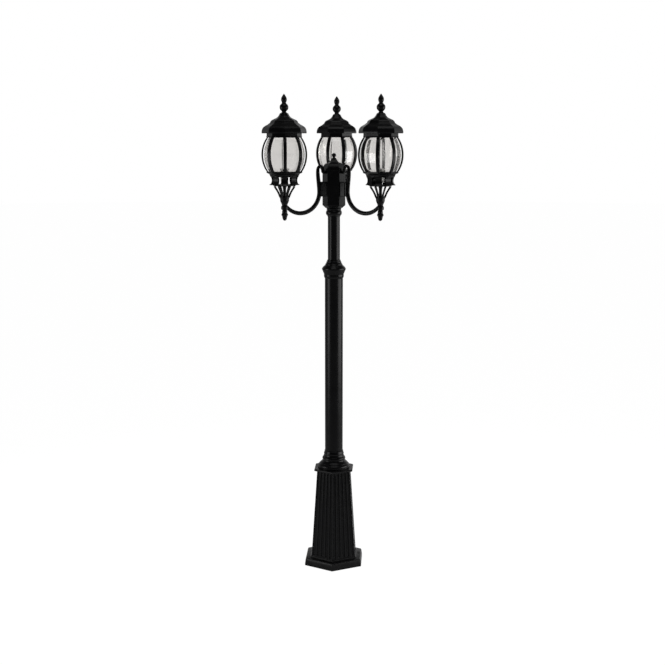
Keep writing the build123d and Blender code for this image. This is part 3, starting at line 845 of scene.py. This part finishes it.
def strut_body():
    line = [(18.4, -6), (21.6, 2), (25.4, 11), (30, 20), (34.8, 28), (39.6, 35.4),
            (43.4, 42)]
    path = eased(scaled(line, level("left_cup")[0] + CUP_FOOT))
    radii = [4.1 * MM + 0.4 * MM * abs(2 * i / (len(path) - 1) - 1)
             for i in range(len(path))]
    return tube(path, radii, 16)


def spoke_body():
    outline = [(8, -4), (20, -3.4), (41, -4), (41, -0.2), (8, -0.2)]
    return slab(scaled(outline, level("left_cup")[1]), 6.6 * MM)


def star_body():
    """Eight-pointed flange under the gallery and the ring on top of it."""
    low, high = level("left_gallery")
    inner, outer = [], []
    for index in range(16):
        radius = (53 if index % 2 else 65) * MM
        angle = TURN_8 * (index + 1)
        outer.append((radius * cos(angle), radius * sin(angle)))
        inner.append((6 * MM * cos(angle), 6 * MM * sin(angle)))
    top = low + 4 * MM
    flange = skin([[(x, y, z) for x, y in ring] for z, ring in
                   ((low, inner), (low, outer), (top, outer), (top, inner))], loop=True)
    rim = [(48, -4), (60, -4), (61, -3), (61, 0), (48, 0)]
    return merged(flange, lathe(scaled(rim, high), loop=True))


def bracket_body():
    """Curved bracket of the gallery."""
    low, high = level("left_gallery")
    bottom, top = low + 2 * MM, high - 0.4 * MM
    middle = (bottom + high) / 2
    outer = arc((62 * MM, bottom), (55 * MM, middle), (61 * MM, top))
    inner = arc((53 * MM, bottom), (46.5 * MM, middle), (52 * MM, top))
    return slab(outer + inner[::-1], 28 * MM)


def belly(inset):
    """Corner radius and height of the lantern at ring, belly and neck."""
    glass = level("left_glass")
    low, high = glass[0] - 0.15 * MM, glass[1] + 0.15 * MM
    return ((77.4 * MM - inset, low), (98.7 * MM - inset, low + 0.514 * (high - low)),
            (76 * MM - inset, high))


def belly_radius(height, inset):
    """Corner radius of the barrel at any height."""
    line = arc(*belly(inset), steps=48)
    for (r0, z0), (r1, z1) in zip(line, line[1:]):
        if z0 <= height <= z1:
            return r0 + (r1 - r0) * (height - z0) / (z1 - z0)
    return line[0][0] if height < line[0][1] else line[-1][0]


def cage_rings():
    low, neck = level("left_cage")[0], belly(0)[2][1]
    ring = [(52 / FLAT_8, 0), (62.4, 0), (63, 0.8), (63.6, 4), (65.4, 7.4),
            (69.4, 10.4), (74.6, 12.4), (77, 13.6), (77.4, 15), (77.4, 19.2),
            (76.6, 20), (52 / FLAT_8, 20)]
    collar = [(58 / FLAT_8, 0), (75.4, 0), (76.6, 1), (77.4, 3), (77, 5), (76, 6.4),
              (76, 20.4), (75.4, 21), (58 / FLAT_8, 21)]
    return merged(*(lathe(scaled(outline, base), 8, TURN_8, loop=True)
                    for outline, base in ((ring, low), (collar, neck))))


def rib_body():
    outer, back = arc(*belly(0), steps=24), arc(*belly(7.5 * MM), steps=24)
    return slab(outer + back[::-1], 15 * MM)


def pane_body():
    """Pane towards +X: curved upright, flat across, with a ground border."""
    size = settings("sizes")
    low, high = level("left_glass")
    front = 7.8 * MM
    back = front + 4 * MM / FLAT_8
    border = size.glass_bevel
    count = 18
    rows = [low, *(low + border + (high - low - 2 * border) * i / count
                   for i in range(count)), high - border, high]
    verts = []
    for inset, fall in ((front, size.glass_fall), (back, 0.0)):
        for row in rows:
            apothem = belly_radius(row, inset) * FLAT_8
            half = belly_radius(row, back) * FLAT_8 * tan(TURN_8) - 0.6 * MM
            at_end = row in (low, high)
            for y, at_edge in ((-half, True), (border - half, at_end),
                               (half - border, at_end), (half, True)):
                verts.append((apothem - (fall if at_edge else 0.0), y, row))
    wide, tall = 4, len(rows)
    other = wide * tall
    rim = [*range(wide), *range(2 * wide - 1, other, wide),
           *range(other - 2, other - wide - 1, -1),
           *range(other - 2 * wide, 0, -wide)]
    faces = grid(wide, tall) + grid(wide, tall, other)
    faces += [(a, b, b + other, a + other) for a, b in zip(rim, rim[1:] + rim[:1])]
    return verts, faces


def holder_body():
    """Lamp holder with a ribbed skirt and an open mouth."""
    low, high = level("left_socket")
    foot = scaled([(5.1, 0), (13, 0), (16, 5), (17, 16)], low)
    skirt = [(17, -24), (18.6, -23), (19, -21.6), (19, -15), (18.2, -14), (18.2, -12),
             (19, -11), (19, -2), (17.6, -0.4), (16, 0), (14, -0.4), (13.3, -2)]
    thread = [(14.1 if index % 2 else 13.3, -4 - index * 1.9) for index in range(18)]
    return lathe(foot + scaled(skirt + thread + [(13.3, -40), (5.1, -40)], high), 48,
                 loop=True)


def roof_body():
    """Eight-sided ogee roof with two steps, hollow underneath."""
    low, high = level("left_roof")
    eave = [
        (95.4, 0), (96.6, 0.8), (97.3, 3.6), (97.2, 7.4), (96.2, 13), (93.6, 20.6),
        (90, 25.6), (84.5, 30), (76.4, 34.8), (70, 38), (67.8, 39.4), (66.6, 41.2),
        (62.4, 43.4), (60.4, 46), (59.4, 49), (57.6, 52), (53.3, 56), (44.6, 60.2),
        (35, 64.4), (29.2, 68), (24.7, 73), (21.6, 78), (19.7, 82), (17, 86),
    ]
    under = [(4.7, 79), (20, 74), (31, 60.4), (50, 51), (55, 44), (62, 37), (80, 28),
             (88, 18), (89.8, 12), (90.4, 6), (65.5, 6), (65.5, 3.3), (77.6, 3.3),
             (77.6, 0)]
    scale = (high - low) / (eave[-1][1] * MM)
    outline = scaled(under + eave, low, scale) + [(4.7 * MM, high)]
    return lathe(outline, 8, TURN_8, loop=True)


def flame_body():
    """Flame finial on its ball."""
    low, high = level("left_finial")
    shape = [
        (12.3, 0), (12.6, 0.9), (12.2, 2), (10, 3.2), (9.3, 5), (10, 7.2), (12.4, 9.8),
        (16.0, 14), (18.3, 19), (19, 24.4), (18.4, 29.4), (16, 34.2), (12.6, 37.8),
        (10.6, 39.2), (10.4, 40.6), (9.2, 41.8), (8.9, 44), (10.2, 47.2), (12, 52.2),
        (12.6, 57.4), (11.8, 62.8), (9.2, 68.4), (5.8, 74), (3, 78), (1.3, 80.4),
        (0.3, 81),
    ]
    return lathe(eased(stretched(shape, low, high), 2), 48)


# ------------------------------------------------------------ operators

class BuildStage(bpy.types.Operator):
    """Floor, lights, world and camera"""

    bl_idname = "post.stage"
    bl_label = "Stage"

    def execute(self, context):
        scene = context.scene
        scene.view_settings.view_transform = "Standard"
        stage = settings("stage")
        camera = bpy.data.objects.new("camera", bpy.data.cameras.new("camera"))
        scene.collection.objects.link(camera)
        camera.data.lens = stage.lens
        camera.data.sensor_width = 36.0
        a = stage.azimuth
        camera.location = (stage.distance * sin(a), -stage.distance * cos(a),
                           stage.height)
        camera.rotation_euler = (pi / 2 - stage.pitch, 0, a + HEAD_SHIFT)
        camera.data.clip_end = 200.0
        scene.camera = camera
        floor_mesh = mesh_of("floor", lathe([(30.0, -0.01), (30.0, 0.0)], 64))
        floor = bpy.data.objects.new("floor", floor_mesh)
        scene.collection.objects.link(floor)
        floor.data.materials.append(finish_of("floor"))
        for name, spot, size, watts in (
                ("left softbox", (-3.6, -1.5, LAMP_HEIGHT), (2.0, 2.1), 52),
                ("right softbox", (3.8, -0.4, LAMP_HEIGHT), (3.4, 2.1), 108),
                ("top softbox", (0.2, -1.0, 5.2), (3.0, 3.0), 40)):
            lamp = bpy.data.lights.new(name, "AREA")
            lamp.shape = "RECTANGLE"
            lamp.size, lamp.size_y = size
            lamp.energy = watts
            holder = bpy.data.objects.new(name, lamp)
            scene.collection.objects.link(holder)
            holder.location = spot
            aim = Vector((0, 0, LAMP_HEIGHT)) - Vector(spot)
            holder.rotation_euler = aim.to_track_quat("-Z", "Y").to_euler()
        world_light()
        return {"FINISHED"}


def world_light():
    """White backdrop; reflections find it bright behind and dark in front and above."""
    world = bpy.data.worlds.new("Studio")
    bpy.context.scene.world = world
    world.use_nodes = True
    tree = world.node_tree
    nodes, links = tree.nodes, tree.links
    where = nodes.new("ShaderNodeTexCoord")
    way = nodes.new("ShaderNodeSeparateXYZ")
    links.new(where.outputs["Generated"], way.inputs[0])
    behind = ranged(tree, way.outputs["Y"], -0.62, 0.1, least=0.04, smooth=True)
    side = maths(tree, "MULTIPLY_ADD", way.outputs["X"], 0.45, 0.95)
    above = maths(tree, "MAXIMUM", way.outputs["Z"], 0.0)
    above = maths(tree, "MULTIPLY_ADD", above, -1.4, 1.0)
    above = maths(tree, "MAXIMUM", above, 0.06)
    shine = maths(tree, "MULTIPLY", behind, maths(tree, "MULTIPLY", side, above))
    glossy = nodes.new("ShaderNodeLightPath").outputs["Is Glossy Ray"]
    rest = maths(tree, "SUBTRACT", 1.0, glossy)
    base = maths(tree, "MULTIPLY_ADD", seen_by_eye(tree), 0.4, 0.6)
    power = maths(tree, "MULTIPLY", rest, base)
    power = maths(tree, "MULTIPLY_ADD", glossy, shine, power)
    links.new(power, nodes["Background"].inputs["Strength"])
    nodes["Background"].inputs["Color"].default_value = (1, 1, 1, 1)


class BuildBase(bpy.types.Operator):
    """Plinth, fluted column, cap and collar"""

    bl_idname = "post.base"
    bl_label = "Base"

    def execute(self, context):
        edge = settings("sizes").edge
        place("plinth", plinth_body(), ["base_plinth"], edge, 20)
        column = ring_mesh("column", column_face(), 6, weld=True)
        place("column", column, ["base_column"], None, 30)
        place("cap", cap_body(), ["base_cap"], edge * 0.7, 20)
        place("collar", collar_body(), ["base_collar"], None, 26)
        return {"FINISHED"}


class BuildPoles(bpy.types.Operator):
    """Lower and upper pole with the reducer and the neck bead"""

    bl_idname = "post.poles"
    bl_label = "Poles"

    def execute(self, context):
        for name, body, node in (
                ("lower_tube", pole_body("lower_pole"), "lower_pole"),
                ("upper_tube", pole_body("upper_pole"), "upper_pole"),
                ("reducer", reducer_body(), "mid_collar"),
                ("neck_bead", neck_body(), "hub_collar")):
            place(name, body, [node], None, 26)
        return {"FINISHED"}


class BuildHub(bpy.types.Operator):
    """Hub, its ogee cap and its ball nut"""

    bl_idname = "post.hub"
    bl_label = "Hub"

    def execute(self, context):
        edge = settings("sizes").edge
        lugs = [moved(lug_body(), Matrix.Rotation(side_turn(side), 4, "Z"))
                for side in SIDES]
        place("hub", merged(hub_shell(), *lugs), ["hub_body"], edge * 1.6, 20)
        place("hub_ogee", cap_shell(), ["hub_cap"], edge * 0.7, 20, body="hub_cap")
        place("hub_ball", knob_body(), ["hub_finial"], body="hub_finial")
        return {"FINISHED"}


class BuildArms(bpy.types.Operator):
    """Three bent arms with their eyes"""

    bl_idname = "post.arms"
    bl_label = "Arms"

    def execute(self, context):
        shape = arm_shape()
        for side in SIDES:
            turned = moved(shape, Matrix.Rotation(side_turn(side), 4, "Z"))
            place(side + "_bent_arm", turned, [side + "_arm"])
        return {"FINISHED"}


class BuildFeet(bpy.types.Operator):
    """Tails, turned feet, struts and galleries of the lanterns"""

    bl_idname = "post.feet"
    bl_label = "Lantern feet"

    def execute(self, context):
        edge = settings("sizes").edge
        for side in SIDES:
            spot = side_spot(side)
            for name, body, node, rim in (
                    ("_drop", tail_body(), "_tail", None),
                    ("_foot", foot_body(), "_cup", None),
                    ("_star", star_body(), "_gallery", edge * 0.8)):
                place(side + name, moved(body, spot), [side + node], rim)
            for name, body, copies, first in (
                    ("_struts", merged(strut_body(), spoke_body()), 6, TURN_6),
                    ("_scrolls", bracket_body(), 8, TURN_8)):
                mesh = ring_mesh(side + name, body, copies, first, side)
                place(side + name, mesh, (), edge * 0.7)
        return {"FINISHED"}


class BuildCages(bpy.types.Operator):
    """Rings and ribs round the glass"""

    bl_idname = "post.cages"
    bl_label = "Cages"

    def execute(self, context):
        edge = settings("sizes").edge
        for side in SIDES:
            rings = moved(cage_rings(), side_spot(side))
            place(side + "_rings", rings, [side + "_cage"], edge, 20)
            ribs = ring_mesh(side + "_ribs", rib_body(), 8, TURN_8, side)
            place(side + "_ribs", ribs, (), edge * 1.8)
        return {"FINISHED"}


class BuildGlass(bpy.types.Operator):
    """Bevelled panes"""

    bl_idname = "post.glass"
    bl_label = "Glass"

    def execute(self, context):
        for side in SIDES:
            name = side + "_panes"
            panes = ring_mesh(name, pane_body(), 8, 0.0, side, "clear_glass")
            place(name, panes, [side + "_glass"], None, 12, slot="clear_glass")
        return {"FINISHED"}


class BuildHolders(bpy.types.Operator):
    """Lamp holders"""

    bl_idname = "post.holders"
    bl_label = "Lamp holders"

    def execute(self, context):
        for side in SIDES:
            body = moved(holder_body(), side_spot(side))
            place(side + "_holder", body, [side + "_socket"], slot="white_porcelain")
        return {"FINISHED"}


class BuildRoofs(bpy.types.Operator):
    """Roofs and flame finials"""

    bl_idname = "post.roofs"
    bl_label = "Roofs"

    def execute(self, context):
        edge = settings("sizes").edge
        for side in SIDES:
            spot = side_spot(side)
            roof, finial = side + "_roof", side + "_finial"
            place(side + "_ogee_roof", moved(roof_body(), spot), [roof], edge, 16, roof)
            place(side + "_flame", moved(flame_body(), spot), [finial], body=finial)
        return {"FINISHED"}


class DressHardware(bpy.types.Operator):
    """Finishes on the pieces that keep their construction shape"""

    bl_idname = "post.hardware"
    bl_label = "Hardware"

    def execute(self, context):
        slots = {part["node"]: part["material_slot"]
                 for part in frame["record"]["subparts"]}
        for name, obj in frame["nodes"].items():
            if obj.hide_render:
                continue
            made = finish_of(slots[name])
            for slot in obj.material_slots:
                slot.material = made
        return {"FINISHED"}


class PostPanel(bpy.types.Panel):
    """Sizes, finishes and build steps of the post"""

    bl_label = "Garden post"
    bl_idname = "VIEW3D_PT_garden_post"
    bl_space_type = "VIEW_3D"
    bl_region_type = "UI"
    bl_category = "Post"

    def draw(self, context):
        for kind in ("sizes", "finish", "stage"):
            group = settings(kind)
            box = self.layout.box()
            for key in group.__annotations__:
                box.prop(group, key)
        for step in STEPS:
            self.layout.operator(step.bl_idname)


GROUPS = {"sizes": PostSizes, "finish": PostFinish, "stage": PostStage}
STEPS = (BuildStage, BuildBase, BuildPoles, BuildHub, BuildArms, BuildFeet, BuildCages,
         BuildGlass, BuildHolders, BuildRoofs, DressHardware)


def register():
    for cls in (*GROUPS.values(), *STEPS, PostPanel):
        bpy.utils.register_class(cls)
    for kind, group in GROUPS.items():
        setattr(bpy.types.Scene, "post_" + kind, bpy.props.PointerProperty(type=group))


def unregister():
    for kind in GROUPS:
        delattr(bpy.types.Scene, "post_" + kind)
    for cls in reversed((*GROUPS.values(), *STEPS, PostPanel)):
        bpy.utils.unregister_class(cls)


def main():
    """Build the whole scene."""
    register()
    for step in STEPS:
        group, name = step.bl_idname.split(".")
        getattr(getattr(bpy.ops, group), name)()


if __name__ == "__main__":
    main()
